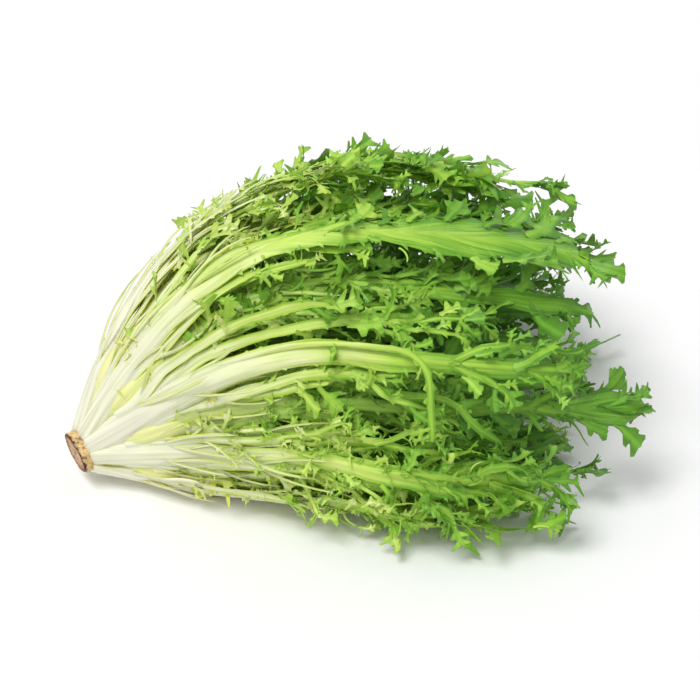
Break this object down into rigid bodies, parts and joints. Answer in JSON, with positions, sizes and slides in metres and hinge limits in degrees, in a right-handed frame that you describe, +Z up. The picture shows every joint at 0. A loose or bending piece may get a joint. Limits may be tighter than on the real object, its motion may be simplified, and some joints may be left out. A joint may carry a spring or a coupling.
{
  "type": "curly endive head",
  "caption": "Head of curly endive lying on its side: a cut stump carrying whorls of separate leaves with thick pale stalks and narrow, deeply cut green blades.",
  "frame": {"origin": "bottom centre of the bounding box, on the surface the head lies on", "axes": "+X along the head from the cut stump to the leaf tips, +Y across it, +Z up"},
  "size_m": [0.3128, 0.2506, 0.1404],
  "materials": {
    "stump": "rough cut plant tissue, tan and brown",
    "green_leaf": "leaf, white stalk turning to mid and dark green, faint gloss",
    "pale_leaf": "leaf, white stalk turning to pale yellow-green, faint gloss",
    "yellow_leaf": "leaf, blanched white and yellow, faint gloss"
  },
  "bodies": {
    "root": {"stump": "stump", "outer_leaf_1": "green_leaf", "outer_leaf_2": "green_leaf", "outer_leaf_3": "green_leaf", "outer_leaf_4": "green_leaf", "outer_leaf_5": "green_leaf", "outer_leaf_6": "green_leaf", "outer_leaf_7": "green_leaf", "outer_leaf_8": "green_leaf", "outer_leaf_9": "green_leaf", "second_leaf_1": "green_leaf", "second_leaf_2": "green_leaf", "second_leaf_3": "green_leaf", "second_leaf_4": "green_leaf", "second_leaf_5": "green_leaf", "second_leaf_6": "green_leaf", "second_leaf_7": "green_leaf", "second_leaf_8": "green_leaf", "second_leaf_9": "green_leaf", "third_leaf_1": "pale_leaf", "third_leaf_2": "pale_leaf", "third_leaf_3": "pale_leaf", "third_leaf_4": "pale_leaf", "third_leaf_5": "pale_leaf", "third_leaf_6": "pale_leaf", "third_leaf_7": "pale_leaf", "third_leaf_8": "pale_leaf", "fourth_leaf_1": "pale_leaf", "fourth_leaf_2": "pale_leaf", "fourth_leaf_3": "pale_leaf", "fourth_leaf_4": "pale_leaf", "fourth_leaf_5": "pale_leaf", "fourth_leaf_6": "pale_leaf", "fourth_leaf_7": "pale_leaf", "inner_leaf_1": "yellow_leaf", "inner_leaf_2": "yellow_leaf", "inner_leaf_3": "yellow_leaf", "inner_leaf_4": "yellow_leaf", "inner_leaf_5": "yellow_leaf", "inner_leaf_6": "yellow_leaf", "heart_leaf_1": "yellow_leaf", "heart_leaf_2": "yellow_leaf", "heart_leaf_3": "yellow_leaf", "heart_leaf_4": "yellow_leaf"}
  },
  "joints": []
}
